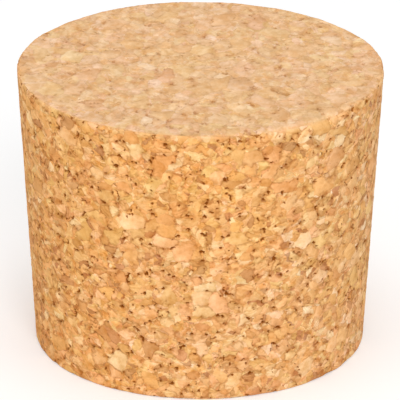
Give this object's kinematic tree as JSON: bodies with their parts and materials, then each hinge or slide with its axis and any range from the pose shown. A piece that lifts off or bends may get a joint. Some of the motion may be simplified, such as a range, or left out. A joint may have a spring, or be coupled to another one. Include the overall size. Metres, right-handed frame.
{
  "type": "cork stopper",
  "caption": "Tapered round stopper of agglomerated cork with flat ends and lightly worn edges, pushed into the mouth of a jar, jug or flask to close it.",
  "frame": {"origin": "centre of the small end face, which the stopper stands on", "axes": "+Z along the stopper's axis, from the small end to the large end; the shape is round, so +X and +Y are free"},
  "size_m": [0.0508, 0.0508, 0.04],
  "materials": {
    "cork": "matte"
  },
  "bodies": {
    "root": {"cork_stopper": "cork"}
  },
  "joints": []
}
